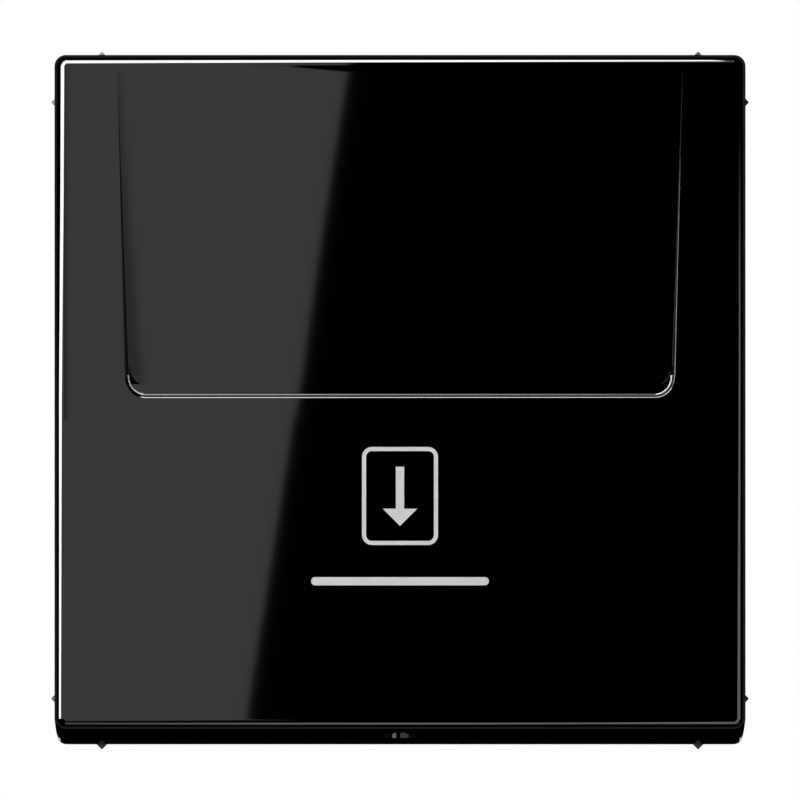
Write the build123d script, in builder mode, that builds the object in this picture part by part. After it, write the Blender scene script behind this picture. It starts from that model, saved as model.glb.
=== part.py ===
from build123d import *

import math
import os

# A flush-mounted hotel key card switch.
# X points right, Z points up and -Y points into the room. The origin is the centre of the mounting
# ring's back face, where it rests on the wall. A height is a distance from the wall into the room,
# so it is negative inside the wall box, and up is the level along Z.

# Cover
cover_side = 70.0
cover_depth = 10.5
cover_wall = 2.0
panel_thickness = 1.8
face_round = 1.0
upper_corner_round = 1.15
lower_corner_round = 1.1
bottom_rise = 1.85
cut_overrun = 1.0

# Card recess and slot
recess_margin = 0.1
recess_side_play = 0.74
recess_taper = 0.9
lip_level = 0.41
lip_bevel_rise = 0.16
lip_step = 0.1
lip_bevel_depth = 0.8
lip_corner_round = 2.0
slot_side_play = 0.43
slot_gap = 2.4
floor_wall = 1.6
floor_bend_level = 1.65
floor_tail = 4.0
floor_tail_step = 0.1
tray_wall = 1.4

# Ribs inside the cover that hold the card back
card_rib_height = 1.6
card_rib_width = 1.2
card_rib_inner_place = 12.0
card_rib_outer_place = 22.0
card_rib_top = -1.6
card_rib_bottom = -25.0

# Card guide
card_width = 53.98
card_side_play = 0.36
card_gap = 1.4
seam_gap = 0.3
guide_thickness = 1.6
guide_foot_space = 4.0
guide_stop_height = 1.2
rail_width = 1.6
window_side_play = 0.7
window_top_play = 0.9
window_foot_play = 3.0
yoke_half = 12.0
yoke_drop = 3.0
yoke_bottom = -8.0
ear_inner = 9.0
ear_thickness = 2.0
ear_radius = 2.0

# Screws of the card guide
guide_screw_side_play = 0.05
guide_screw_upper_level = -8.0
guide_screw_foot = 4.0
guide_screw_radius = 1.0
guide_screw_head_radius = 1.9
guide_screw_head_height = 1.2
guide_screw_reach = 4.2
guide_boss_radius = 1.8
screw_core_play = 0.05
screw_hole_play = 0.2

# Sensing lever
lever_pivot_height = 8.2
lever_pivot_level = 8.0
lever_pin_radius = 1.0
lever_pin_press = 0.03
lever_pin_play = 0.05
lever_hub_radius = 2.1
lever_side_play = 0.3
lever_thickness = 1.6
lever_foot_play = 2.2
nose_half = 4.5
nose_tip_height = 16.2
nose_tip_rise = 2.0
nose_tip_flat = 1.5
nose_top_rise = 7.6
nose_heel_drop = 0.6
pad_rise = 3.0
pad_radius = 1.0
pad_gap = 0.2
pad_half = 5.0

# Mounting ring
ring_thickness = 1.2
ring_inset = 0.7
ring_corner = 4.0
box_screw_spacing = 60.0
box_slot_radius = 1.9
box_slot_length = 5.4

# Mounting frame between the ring and the cover
frame_depth = 7.0
frame_inset = 0.3
frame_corner = 1.0
frame_wall = 1.8
web_height = 5.0
web_thickness = 1.6
web_width = 8.4
web_window_corner = 4.0
centring_inset = 4.35
centring_height = 0.84
centring_start = 3.2
centring_end_gap = 0.2
centring_tip_round = 0.1

# Screws of the mounting frame
frame_screw_inset = 5.9
frame_screw_radius = 1.4
frame_screw_head_radius = 2.6
frame_screw_head_height = 1.4
frame_boss_radius = 3.0
ring_thread_play = 0.05
tip_inset = 0.1

# Snap tongues of the cover
tongue_across = 15.0
tongue_half = 4.0
tongue_thickness = 1.2
tongue_gap = 0.2
tongue_root = 2.8
tongue_end = 3.4
nib_height = 1.2
nib_reach = 0.6
nib_play = 0.2

# Light guide and its outlet in the bottom wall
outlet_height = 13.95
outlet_radius = 1.65
light_rod_play = 0.05
light_guide_half = 1.6
light_bar_thickness = 2.0
light_riser_front = 9.4
light_riser_back = 7.0
light_entry_radius = 1.4
light_entry_gap = 0.4
outlet_dish_radius = 2.4
outlet_dish_depth = 0.3
outlet_recess = 0.35

# Socket body
housing_width = 41.0
housing_height = 42.0
housing_corner = 3.0
housing_depth = 23.0
housing_wall = 1.5
ledge_width = 0.6
ledge_depth = 6.4
housing_window_play = 0.2
cell_wall_play = 0.2
cell_wall_thickness = 1.4
cell_wall_depth = 7.3
cell_wall_overlap = 0.5

# Lugs of the ring that hold the socket body
lug_half = 5.0
lug_length = 9.0
lug_window_half = 2.6
lug_window_near = 5.0
lug_window_far = 7.2
nub_play = 0.3
nub_reach = 0.95

# Carrier of the rocker
carrier_side_margin = 1.0
carrier_end_margin = 1.5
carrier_thickness = 2.2
carrier_corner = 3.0
carrier_window_play = 0.5
carrier_window_rise = 2.6
carrier_window_foot = 1.0
carrier_bridge = 0.7
bearing_thickness = 2.4
bearing_radius = 2.2
carrier_screw_across = 18.0
carrier_screw_inset = 3.1
carrier_ear_radius = 2.6
carrier_screw_radius = 1.05
carrier_screw_head_radius = 2.1
carrier_screw_head_height = 1.2

# Rocker
rocker_pivot_height = 3.6
rocker_pivot_level = 10.0
rocker_half = 13.8
rocker_back = 3.8
rocker_front = 5.4
rocker_hub_radius = 2.0
rocker_rib_inner = 11.8
rocker_rib_width = 1.2
rocker_rib_height = 1.2
axle_radius = 0.9
axle_play = 0.05
axle_press = 0.03
axle_overhang = 0.4

# Plunger and its spring
plunger_level = -3.0
plunger_radius = 2.0
plunger_play = 0.08
plunger_head_radius = 4.0
plunger_head_back = 1.6
plunger_head_front = 2.6
plunger_nose_radius = 1.2
plunger_nose_front = 3.5
plunger_end = 8.4
spring_wire_radius = 0.3
spring_radius = 2.9
spring_turns = 4.5
plate_depth = 5.0
plate_play = 0.2

# Contacts
strip_thickness = 0.8
arm_half = 3.0
arm_front = 8.9
arm_foot = 2.0
arm_pivot_level = 9.0
bead_radius = 0.8
bead_play = 0.1
contact_level = -8.0
rivet_shank_radius = 0.8
rivet_head_radius = 1.5
rivet_head_height = 0.6
contact_tip_radius = 1.4
contact_gap = 2.05
strip_half = 2.0
strip_overhang = 2.4
common_bar_depth = 11.6
cradle_half = 3.2
cradle_top = 10.8
cradle_bottom = 8.2
cradle_front = 8.0
cradle_opening_front = 8.6
cradle_opening_back = 10.1
branch_bottom = 7.0
riser_width = 3.6
bar_end_play = 1.5
bar_level_inset = 1.0

# Terminals
cage_width = 9.0
cage_side_play = 0.2
cage_end_play = 1.4
cage_button_play = 2.5
cage_wall = 0.8
cage_play = 0.1
wire_hole_radius = 1.7
clamp_thickness = 0.4
clamp_half = 2.4
clamp_bend = 0.8
clamp_top_inset = 1.2
clamp_foot_inset = 0.8
clamp_tip_inset = 0.5
clamp_tip_rise = 2.6
feed_strip_half = 2.5

# Release buttons
button_half = 2.5
button_tall = 3.5
button_play = 0.2
button_proud = 1.3
button_length = 6.8
flange_side = 0.4
flange_end = 1.5
flange_thickness = 1.2

# Indicator lamp
lamp_housing_play = 0.3
lamp_half = 3.2
lamp_thick = 1.4
lamp_front = 3.2
lamp_window_play = 0.2
led_radius = 1.3
led_shoulder = 1.0
lamp_leg_across = 1.8
lamp_leg_half = 0.4
lamp_leg_thin = 0.2
lamp_slot_play = 0.2

# Claws and their screws
claw_side_play = 0.4
claw_screw_inset = 2.5
claw_screw_radius = 1.4
claw_screw_hole_play = 0.2
claw_head_radius = 2.4
claw_head_height = 2.0
claw_screw_tip = 12.4
claw_slot_half = 0.35
claw_slot_depth = 0.8
claw_half = 5.0
claw_pivot_height = 0.3
claw_bead_radius = 0.5
claw_thickness = 2 * claw_bead_radius
claw_front_strip = 2.0
claw_back_strip = 1.0
claw_length = 15.0
claw_gap_half = 1.9
claw_notch_play = 0.6
lug_start = 8.0
lug_thickness = 1.0
claw_lug_half = 3.4
claw_lug_play = 0.2
claw_lug_margin = 3.1
tooth_margin = 2.6
tooth_depth = 1.2

# Places worked out from the sizes above
cover_half = cover_side / 2
rim_height = ring_thickness + frame_depth
face_height = rim_height + cover_depth
panel_back = face_height - panel_thickness
cavity_half = cover_half - cover_wall
recess_top = cover_half - face_round - recess_margin
recess_rise = recess_top - lip_level
slot_depth = panel_thickness + slot_gap
slot_floor = face_height - slot_depth
floor_rise = recess_top - floor_bend_level
floor_thickness_along_depth = floor_wall * math.hypot(floor_rise, slot_depth) / floor_rise
guide_front = panel_back - card_rib_height - card_gap
floor_tail_height = guide_front + floor_tail_step
guide_back = guide_front - guide_thickness
guide_top = -floor_tail - seam_gap
guide_bottom = guide_foot_space - cavity_half
rail_inner = card_width / 2 + card_side_play
slot_half = card_width / 2 + slot_side_play
recess_bottom_half = card_width / 2 + recess_side_play
recess_top_half = recess_bottom_half + recess_taper
guide_screw_across = rail_inner + rail_width + guide_boss_radius + guide_screw_side_play
guide_half = guide_screw_across + guide_boss_radius
guide_screw_levels = (guide_screw_upper_level, guide_bottom + guide_screw_foot)
yoke_top = lever_pivot_level - yoke_drop
window_half = nose_half + window_side_play
lever_half = ear_inner - lever_side_play
lever_back = lever_pivot_height - lever_thickness / 2
web_front = web_height + web_thickness
frame_half = cover_half - frame_inset
frame_side = 2 * frame_half
frame_inner = frame_half - frame_wall
frame_screw_across = frame_inner - frame_screw_inset
web_window = 2 * (frame_inner - web_width)
centring_place = frame_half - centring_inset
centring_tip = frame_half + centring_height
ring_side = 2 * (frame_half - ring_inset)
carrier_front = ring_thickness + carrier_thickness
plate_back = ledge_depth
contact_depth = arm_front + strip_thickness / 2
closed_tip_back = arm_front - rivet_head_height
closed_strip_back = closed_tip_back - rivet_head_height
open_tip_front = arm_front + strip_thickness + rivet_head_height + contact_gap
open_strip_front = open_tip_front + rivet_head_height
cage_front = common_bar_depth + strip_thickness
housing_floor = housing_depth - housing_wall
cage_depth = housing_floor - cage_play - cage_front
bar_end_depth = housing_floor - bar_end_play
cage_outer_side = housing_width / 2 - housing_wall - ledge_width - cage_side_play
cage_inner_side = cage_outer_side - cage_width
terminal_across = cage_outer_side - cage_width / 2
cage_near_level = button_tall + flange_end + cage_button_play
cage_far_level = housing_height / 2 - housing_wall - ledge_width - cage_end_play
cage_height = cage_far_level - cage_near_level
terminal_level = (cage_far_level + cage_near_level) / 2
cell_wall_inner = cage_inner_side - strip_thickness - cell_wall_play - cell_wall_thickness
cell_wall_start = cage_near_level - cell_wall_overlap
arm_bottom = contact_level - arm_foot
lamp_level = lamp_thick + lamp_housing_play - housing_height / 2 + housing_wall
carrier_window_bottom = lamp_level + lamp_thick + lamp_window_play + carrier_bridge
carrier_window_top = rocker_pivot_level + carrier_window_rise
carrier_window_half = rocker_half + carrier_window_play
carrier_width = housing_width + 2 * carrier_side_margin
carrier_height = housing_height + 2 * carrier_end_margin
carrier_screw_level = housing_height / 2 + housing_window_play + carrier_screw_inset
rocker_bottom = carrier_window_bottom + carrier_window_foot
lever_bottom = lamp_level + light_guide_half + lever_foot_play
nose_tip_level = lever_bottom + nose_tip_rise
nose_top_level = lever_bottom + nose_top_rise
nose_heel_level = lever_bottom - nose_heel_drop
pad_level = lever_bottom + pad_rise
window_top = nose_top_level + window_top_play
window_bottom = lever_bottom - window_foot_play
claw_inner = housing_width / 2 + claw_side_play
claw_screw_across = claw_inner + claw_thickness + claw_screw_inset
claw_lug_reach = claw_screw_across + claw_lug_margin
tooth_reach = claw_screw_across + tooth_margin
light_bar_top = guide_bottom


def bottom_wall_level(height):
    """The outer level of the leaning bottom wall at a height above the wall."""
    return -cover_half + bottom_rise * (height - rim_height) / cover_depth


def floor_height(level):
    """How far the sloping recess floor stands above the wall at a level."""
    return face_height - slot_depth * (recess_top - level) / floor_rise


def recess_half(level):
    """Half the recess width at a level."""
    widening = recess_top_half - recess_bottom_half
    return recess_bottom_half + widening * (level - lip_level) / recess_rise


def side_point(height, level):
    """A point of a side profile, drawn on the YZ plane."""
    return (-height, level)


def facing(height):
    """The plane that faces the room at a height above the wall."""
    return Plane.XZ.offset(height)


def block(across, heights, levels, mode=Mode.ADD):
    """A block between two places across, two heights and two levels."""
    middle = (sum(across) / 2, -sum(heights) / 2, sum(levels) / 2)
    with Locations(middle):
        Box(across[1] - across[0], heights[1] - heights[0], levels[1] - levels[0], mode=mode)


def rod_out(across, level, radius, heights, mode=Mode.ADD):
    """A round rod that points into the room."""
    with Locations(Location((across, -sum(heights) / 2, level), (90, 0, 0))):
        Cylinder(radius, heights[1] - heights[0], mode=mode)


def rod_across(half, height, level, radius, mode=Mode.ADD):
    """A round rod along X, centred on the middle."""
    with Locations(Location((0, -height, level), (0, 90, 0))):
        Cylinder(radius, 2 * half, mode=mode)


def finish(builder, name):
    """Label a finished piece and write its file."""
    builder.part.label = name
    export_step(builder.part, f"parts/{name}.step")
    print(f"{name}: {len(builder.part.solids())} solid(s), {builder.part.volume:.1f} mm3")


def recess_outline(height, levels, halves, corner):
    """The outline of the recess between two levels, with so much half width at each of them."""
    bottom, top = levels
    bottom_half, top_half = halves
    with BuildSketch(facing(height)) as outline:
        Polygon(
            (-top_half, top),
            (-bottom_half, bottom),
            (bottom_half, bottom),
            (top_half, top),
            align=None,
        )
        if corner > 0:
            fillet(outline.vertices().group_by(Axis.Y)[0], corner)
    return outline.sketch


os.makedirs("parts", exist_ok=True)

# The space of the recess and of the slot behind the lip. Its floor slopes down to a bend just
# above the lip, runs parallel to the face behind the lip and leans back to the guide below it
bevel_level = lip_level + lip_bevel_rise
slot_level = bevel_level + lip_step
lip_top = slot_level + lip_corner_round - recess_margin
bevel_height = face_height - lip_bevel_depth
slot_corner_round = lip_corner_round - (recess_bottom_half - slot_half)
recess_halves = (recess_half(lip_top), recess_half(recess_top))
mouth_halves = (recess_half(lip_level), recess_half(lip_top))
bevel_halves = (slot_half + lip_step, slot_half + lip_step)
recess_face = recess_outline(face_height, (lip_top, recess_top), recess_halves, 0)
mouth_face = recess_outline(face_height, (lip_level, lip_top), mouth_halves, lip_corner_round)
bevel_face = recess_outline(bevel_height, (bevel_level, lip_top), bevel_halves, slot_corner_round + lip_step)
slot_face = recess_outline(bevel_height, (slot_level, lip_top), (slot_half, slot_half), slot_corner_round)
with BuildPart() as recess_space:
    extrude(recess_face, amount=-slot_depth - cut_overrun)
    extrude(recess_face, amount=cut_overrun)
    extrude(mouth_face, amount=cut_overrun)
    loft(sections=[mouth_face, bevel_face])
    extrude(slot_face, amount=-slot_depth)
    block(
        (-slot_half, slot_half),
        (floor_tail_height - cut_overrun, panel_back),
        (-floor_tail - cut_overrun, lip_top),
    )
    with BuildSketch(Plane.YZ):
        Polygon(
            side_point(face_height + cut_overrun, recess_top + cut_overrun * floor_rise / slot_depth),
            side_point(slot_floor, floor_bend_level),
            side_point(slot_floor, lip_level),
            side_point(floor_tail_height, -floor_tail),
            side_point(floor_tail_height, -floor_tail - cut_overrun),
            side_point(face_height + cut_overrun, -floor_tail - cut_overrun),
            align=None,
        )
    extrude(amount=cover_half, both=True, mode=Mode.INTERSECT)

# Front cover
with BuildPart() as front_cover:
    with BuildSketch(Plane.YZ):
        Polygon(
            side_point(rim_height, cover_half),
            side_point(rim_height, -cover_half),
            side_point(face_height, bottom_wall_level(face_height)),
            side_point(face_height, cover_half),
            align=None,
        )
    extrude(amount=cover_half, both=True)
    top_corners = front_cover.faces().sort_by(Axis.Z)[-1].edges().filter_by(Axis.Y)
    bottom_wall = front_cover.faces().sort_by(Axis.Z)[0]
    bottom_corners = bottom_wall.edges().filter_by(Axis.X, reverse=True)
    fillet(top_corners, upper_corner_round)
    fillet(bottom_corners, lower_corner_round)
    fillet(front_cover.faces().sort_by(Axis.Y)[0].edges(), face_round)
    cavity_mouth = rim_height - cut_overrun
    with BuildSketch(Plane.YZ):
        Polygon(
            side_point(cavity_mouth, cavity_half),
            side_point(cavity_mouth, bottom_wall_level(cavity_mouth) + cover_wall),
            side_point(panel_back, bottom_wall_level(panel_back) + cover_wall),
            side_point(panel_back, cavity_half),
            align=None,
        )
    extrude(amount=cavity_half, both=True, mode=Mode.SUBTRACT)
    wall_middle = cavity_half + cover_wall / 2
    with BuildSketch(Plane.YZ):
        Polygon(
            side_point(face_height - panel_thickness / 2, wall_middle),
            side_point(floor_height(wall_middle) - floor_thickness_along_depth, wall_middle),
            side_point(slot_floor - floor_thickness_along_depth, floor_bend_level),
            side_point(floor_tail_height - floor_wall, -floor_tail),
            side_point(face_height - panel_thickness / 2, -floor_tail),
            align=None,
        )
    extrude(amount=recess_top_half + tray_wall, both=True)
    add(recess_space.part, mode=Mode.SUBTRACT)
    for place in (card_rib_inner_place, card_rib_outer_place):
        for side in (-1, 1):
            block(
                (side * place - card_rib_width / 2, side * place + card_rib_width / 2),
                (panel_back - card_rib_height, panel_back),
                (card_rib_bottom, card_rib_top),
            )
    for side in (-1, 1):
        for level in guide_screw_levels:
            rod_out(side * guide_screw_across, level, guide_boss_radius, (guide_front, panel_back))
            rod_out(
                side * guide_screw_across,
                level,
                guide_screw_radius + screw_core_play,
                (guide_front, guide_back + guide_screw_reach + screw_hole_play),
                Mode.SUBTRACT,
            )
    tongue_out = frame_inner - tongue_gap
    for side in (-1, 1):
        across = (side * tongue_across - tongue_half, side * tongue_across + tongue_half)
        for top in (-1, 1):
            block(
                across,
                (tongue_end, rim_height + tongue_root),
                sorted((top * tongue_out, top * (tongue_out - tongue_thickness))),
            )
            block(
                across,
                (rim_height, rim_height + tongue_root),
                sorted((top * (tongue_out - tongue_thickness / 2), top * wall_middle)),
            )
            block(
                across,
                (tongue_end, tongue_end + nib_height),
                sorted((top * (tongue_out - tongue_thickness / 2), top * (tongue_out + nib_reach))),
            )
    with Locations((0, -outlet_height, -cavity_half)):
        Cylinder(outlet_radius, 2 * (cover_wall + cut_overrun), mode=Mode.SUBTRACT)
finish(front_cover, "front_cover")

# Card guide: the back and sides of the card pocket, and the bearing of the lever
with BuildPart() as card_guide:
    block((-guide_half, guide_half), (guide_back, guide_front), (guide_bottom, guide_top))
    for side in (-1, 1):
        rail = sorted((side * rail_inner, side * (rail_inner + rail_width)))
        block(rail, (guide_front, panel_back), (guide_bottom, guide_top))
    block(
        (-rail_inner, rail_inner),
        (guide_front, panel_back),
        (guide_bottom, guide_bottom + guide_stop_height),
    )
    yoke_back = guide_back - guide_thickness
    block((-yoke_half, yoke_half), (yoke_back, guide_back), (yoke_bottom, yoke_top))
    for side in (-1, 1):
        ear = sorted((side * ear_inner, side * (ear_inner + ear_thickness)))
        with BuildSketch(Plane.YZ.offset(ear[0])):
            with Locations(side_point(lever_pivot_height, lever_pivot_level)):
                Circle(ear_radius)
            Polygon(
                side_point(lever_pivot_height - ear_radius, lever_pivot_level),
                side_point(yoke_back, yoke_top - 2 * ear_radius),
                side_point(guide_back, yoke_top - 2 * ear_radius),
                side_point(guide_back, yoke_top),
                side_point(lever_pivot_height + ear_radius, lever_pivot_level),
                align=None,
            )
        extrude(amount=ear_thickness)
        for level in guide_screw_levels:
            rod_out(
                side * guide_screw_across,
                level,
                guide_screw_radius + screw_hole_play,
                (guide_back, guide_front),
                Mode.SUBTRACT,
            )
    rod_across(
        ear_inner + ear_thickness,
        lever_pivot_height,
        lever_pivot_level,
        lever_pin_radius + lever_pin_press,
        Mode.SUBTRACT,
    )
    block(
        (-window_half, window_half),
        (yoke_back, guide_front),
        (window_bottom, window_top),
        Mode.SUBTRACT,
    )
finish(card_guide, "card_guide")

with BuildPart() as guide_screws:
    for side in (-1, 1):
        for level in guide_screw_levels:
            across = side * guide_screw_across
            rod_out(
                across,
                level,
                guide_screw_head_radius,
                (guide_back - guide_screw_head_height, guide_back),
            )
            rod_out(across, level, guide_screw_radius, (guide_back, guide_back + guide_screw_reach))
finish(guide_screws, "guide_screws")

# Sensing lever with the nose in the card's path and the pad on the rocker
with BuildPart() as card_lever:
    rod_across(lever_half, lever_pivot_height, lever_pivot_level, lever_hub_radius)
    block(
        (-lever_half, lever_half),
        (lever_back, lever_back + lever_thickness),
        (lever_bottom, lever_pivot_level),
    )
    with BuildSketch(Plane.YZ):
        Polygon(
            side_point(lever_back, nose_top_level),
            side_point(guide_front - seam_gap, nose_top_level),
            side_point(nose_tip_height, nose_tip_level),
            side_point(nose_tip_height, nose_tip_level - nose_tip_flat),
            side_point(guide_front - seam_gap, nose_heel_level),
            side_point(lever_back, lever_bottom),
            align=None,
        )
    extrude(amount=nose_half, both=True)
    pad_height = rocker_front + pad_gap + pad_radius
    rod_across(pad_half, pad_height, pad_level, pad_radius)
    block(
        (-pad_half, pad_half),
        (pad_height, lever_back),
        (pad_level - pad_radius, pad_level + pad_radius),
    )
    rod_across(
        lever_half,
        lever_pivot_height,
        lever_pivot_level,
        lever_pin_radius + lever_pin_play,
        Mode.SUBTRACT,
    )
finish(card_lever, "card_lever")

with BuildPart() as lever_pin:
    rod_across(ear_inner + ear_thickness, lever_pivot_height, lever_pivot_level, lever_pin_radius)
finish(lever_pin, "lever_pin")

# Light guide from the lamp to the outlet in the bottom wall
with BuildPart() as light_guide:
    bar_bottom = light_bar_top - light_bar_thickness
    rod_radius = outlet_radius - light_rod_play
    block(
        (-light_guide_half, light_guide_half),
        (light_riser_back, outlet_height + rod_radius),
        (bar_bottom, light_bar_top),
    )
    block(
        (-light_guide_half, light_guide_half),
        (light_riser_back, light_riser_front),
        (bar_bottom, lamp_level + light_guide_half),
    )
    led_top = lamp_front + led_shoulder + led_radius
    rod_out(0, lamp_level, light_entry_radius, (led_top + light_entry_gap, light_riser_back))
    outlet_level = bottom_wall_level(outlet_height) + outlet_recess
    with Locations((0, -outlet_height, (bar_bottom + outlet_level) / 2)):
        Cylinder(rod_radius, bar_bottom - outlet_level)
    with Locations((0, -outlet_height, outlet_level - outlet_dish_radius + outlet_dish_depth)):
        Sphere(outlet_dish_radius, mode=Mode.SUBTRACT)
finish(light_guide, "light_guide")

# Mounting frame with its centring ribs
with BuildPart() as mounting_frame:
    with BuildSketch(facing(ring_thickness)):
        RectangleRounded(frame_side, frame_side, frame_corner)
        Rectangle(2 * frame_inner, 2 * frame_inner, mode=Mode.SUBTRACT)
    extrude(amount=frame_depth)
    with BuildSketch(facing(web_height)):
        Rectangle(2 * frame_inner, 2 * frame_inner)
        RectangleRounded(web_window, web_window, web_window_corner, mode=Mode.SUBTRACT)
    extrude(amount=web_thickness)
    for across in (-frame_screw_across, frame_screw_across):
        for level in (-frame_screw_across, frame_screw_across):
            rod_out(across, level, frame_boss_radius, (ring_thickness, web_front))
            rod_out(
                across,
                level,
                frame_screw_radius + screw_hole_play,
                (ring_thickness, web_front),
                Mode.SUBTRACT,
            )
    for side in (-1, 1):
        notch = (
            side * tongue_across - tongue_half - nib_play,
            side * tongue_across + tongue_half + nib_play,
        )
        for top in (-1, 1):
            block(
                notch,
                (web_height, web_front),
                sorted((top * (tongue_out - tongue_thickness - tongue_gap), top * frame_inner)),
                Mode.SUBTRACT,
            )
            block(
                notch,
                (tongue_end - nib_play, tongue_end + nib_height + nib_play),
                sorted((top * frame_inner, top * (tongue_out + nib_reach + nib_play))),
                Mode.SUBTRACT,
            )
    with BuildSketch(facing(centring_start)) as centring_ribs:
        for turn in range(4):
            with Locations(Rotation(0, 0, 90 * turn)):
                for place in (-centring_place, centring_place):
                    Polygon(
                        (place - centring_height, frame_half),
                        (place, centring_tip),
                        (place + centring_height, frame_half),
                        (place, frame_half - frame_wall / 2),
                        align=None,
                    )
        tips = centring_ribs.vertices().filter_by(
            lambda tip: max(abs(tip.X), abs(tip.Y)) > centring_tip - centring_tip_round / 2
        )
        fillet(tips, centring_tip_round)
    extrude(amount=rim_height - centring_end_gap - centring_start)
finish(mounting_frame, "mounting_frame")

with BuildPart() as frame_screws:
    for across in (-frame_screw_across, frame_screw_across):
        for level in (-frame_screw_across, frame_screw_across):
            rod_out(
                across,
                level,
                frame_screw_head_radius,
                (web_front, web_front + frame_screw_head_height),
            )
            rod_out(across, level, frame_screw_radius, (tip_inset, web_front))
finish(frame_screws, "frame_screws")

# Mounting ring
window_half_width = housing_width / 2 + housing_window_play
window_half_height = housing_height / 2 + housing_window_play
with BuildPart() as support_ring:
    with BuildSketch(facing(0)):
        RectangleRounded(ring_side, ring_side, ring_corner)
        RectangleRounded(
            2 * window_half_width, 2 * window_half_height, housing_corner, mode=Mode.SUBTRACT
        )
        claw_notch = claw_inner + claw_thickness + claw_notch_play
        Rectangle(2 * claw_notch, 2 * (claw_half + claw_notch_play), mode=Mode.SUBTRACT)
        for side in (-1, 1):
            with Locations((side * box_screw_spacing / 2, 0)):
                SlotOverall(box_slot_length, 2 * box_slot_radius, mode=Mode.SUBTRACT)
            with Locations((0, side * box_screw_spacing / 2)):
                SlotOverall(box_slot_length, 2 * box_slot_radius, rotation=90, mode=Mode.SUBTRACT)
            with Locations((side * claw_screw_across, 0)):
                Circle(claw_screw_radius + claw_screw_hole_play, mode=Mode.SUBTRACT)
            for top in (-1, 1):
                with Locations((side * frame_screw_across, top * frame_screw_across)):
                    Circle(frame_screw_radius + ring_thread_play, mode=Mode.SUBTRACT)
                with Locations((side * carrier_screw_across, top * carrier_screw_level)):
                    Circle(carrier_screw_radius + ring_thread_play, mode=Mode.SUBTRACT)
    extrude(amount=ring_thickness)
    for top in (-1, 1):
        lug_levels = sorted((top * window_half_height, top * (window_half_height + ring_thickness)))
        block((-lug_half, lug_half), (-lug_length, ring_thickness), lug_levels)
        block(
            (-lug_window_half, lug_window_half),
            (-lug_window_far, -lug_window_near),
            lug_levels,
            Mode.SUBTRACT,
        )
finish(support_ring, "support_ring")

# Socket body in the wall box
cavity_width = housing_width - 2 * housing_wall
cavity_height = housing_height - 2 * housing_wall
with BuildPart() as switch_housing:
    with BuildSketch(facing(-housing_depth)):
        RectangleRounded(housing_width, housing_height, housing_corner)
    extrude(amount=housing_depth + ring_thickness)
    with BuildSketch(facing(-ledge_depth)):
        RectangleRounded(cavity_width, cavity_height, housing_corner - housing_wall)
    extrude(amount=ledge_depth + ring_thickness, mode=Mode.SUBTRACT)
    with BuildSketch(facing(-housing_floor)):
        RectangleRounded(
            cavity_width - 2 * ledge_width,
            cavity_height - 2 * ledge_width,
            housing_corner - housing_wall - ledge_width,
        )
    extrude(amount=housing_floor - ledge_depth, mode=Mode.SUBTRACT)
    for side in (-1, 1):
        cell_wall = sorted((side * cell_wall_inner, side * (cell_wall_inner + cell_wall_thickness)))
        for top in (-1, 1):
            block(
                cell_wall,
                (-housing_floor, -housing_floor + cell_wall_depth),
                sorted((top * cell_wall_start, top * (cavity_height / 2))),
            )
            rod_out(
                side * terminal_across,
                top * terminal_level,
                wire_hole_radius,
                (-housing_depth, -housing_floor),
                Mode.SUBTRACT,
            )
        block(
            (
                side * terminal_across - button_half - button_play,
                side * terminal_across + button_half + button_play,
            ),
            (-housing_depth, -housing_floor),
            (-button_tall - button_play, button_tall + button_play),
            Mode.SUBTRACT,
        )
        block(
            (-lug_window_half + nub_play, lug_window_half - nub_play),
            (-lug_window_far + nub_play, -lug_window_near - nub_play),
            sorted((side * (housing_height - housing_wall) / 2, side * (housing_height / 2 + nub_reach))),
        )
finish(switch_housing, "switch_housing")

# Carrier that holds the rocker in front of the ring
with BuildPart() as rocker_carrier:
    with BuildSketch(facing(ring_thickness)):
        RectangleRounded(carrier_width, carrier_height, carrier_corner)
        for side in (-1, 1):
            for top in (-1, 1):
                with Locations((side * carrier_screw_across, top * carrier_screw_level)):
                    Circle(carrier_ear_radius)
                ear_foot = top * (carrier_screw_level - carrier_ear_radius)
                with Locations((side * carrier_screw_across, ear_foot)):
                    Rectangle(2 * carrier_ear_radius, 2 * carrier_ear_radius)
                with Locations((side * carrier_screw_across, top * carrier_screw_level)):
                    Circle(carrier_screw_radius + screw_hole_play, mode=Mode.SUBTRACT)
        window_middle = (carrier_window_top + carrier_window_bottom) / 2
        with Locations((0, window_middle)):
            Rectangle(
                2 * carrier_window_half, carrier_window_top - carrier_window_bottom, mode=Mode.SUBTRACT
            )
        with Locations((0, lamp_level)):
            Rectangle(
                2 * (lamp_half + lamp_window_play),
                2 * (lamp_thick + lamp_window_play),
                mode=Mode.SUBTRACT,
            )
    extrude(amount=carrier_thickness)
    bearing_inner = carrier_window_half + lever_side_play
    for side in (-1, 1):
        middle = side * (bearing_inner + bearing_thickness / 2)
        with Locations(Location((middle, -rocker_pivot_height, rocker_pivot_level), (0, 90, 0))):
            Cylinder(bearing_radius, bearing_thickness)
    axle_half = bearing_inner + bearing_thickness + axle_overhang
    rod_across(
        axle_half + lever_side_play,
        rocker_pivot_height,
        rocker_pivot_level,
        axle_radius + axle_press,
        Mode.SUBTRACT,
    )
    for side in (-1, 1):
        for top in (-1, 1):
            head = Location(
                (
                    side * carrier_screw_across,
                    -(carrier_front - carrier_screw_head_height / 2),
                    top * carrier_screw_level,
                ),
                (90, 0, 0),
            )
            with Locations(head):
                Cone(
                    carrier_screw_radius + screw_hole_play,
                    carrier_screw_head_radius + screw_hole_play,
                    carrier_screw_head_height,
                    mode=Mode.SUBTRACT,
                )
finish(rocker_carrier, "rocker_carrier")

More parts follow.
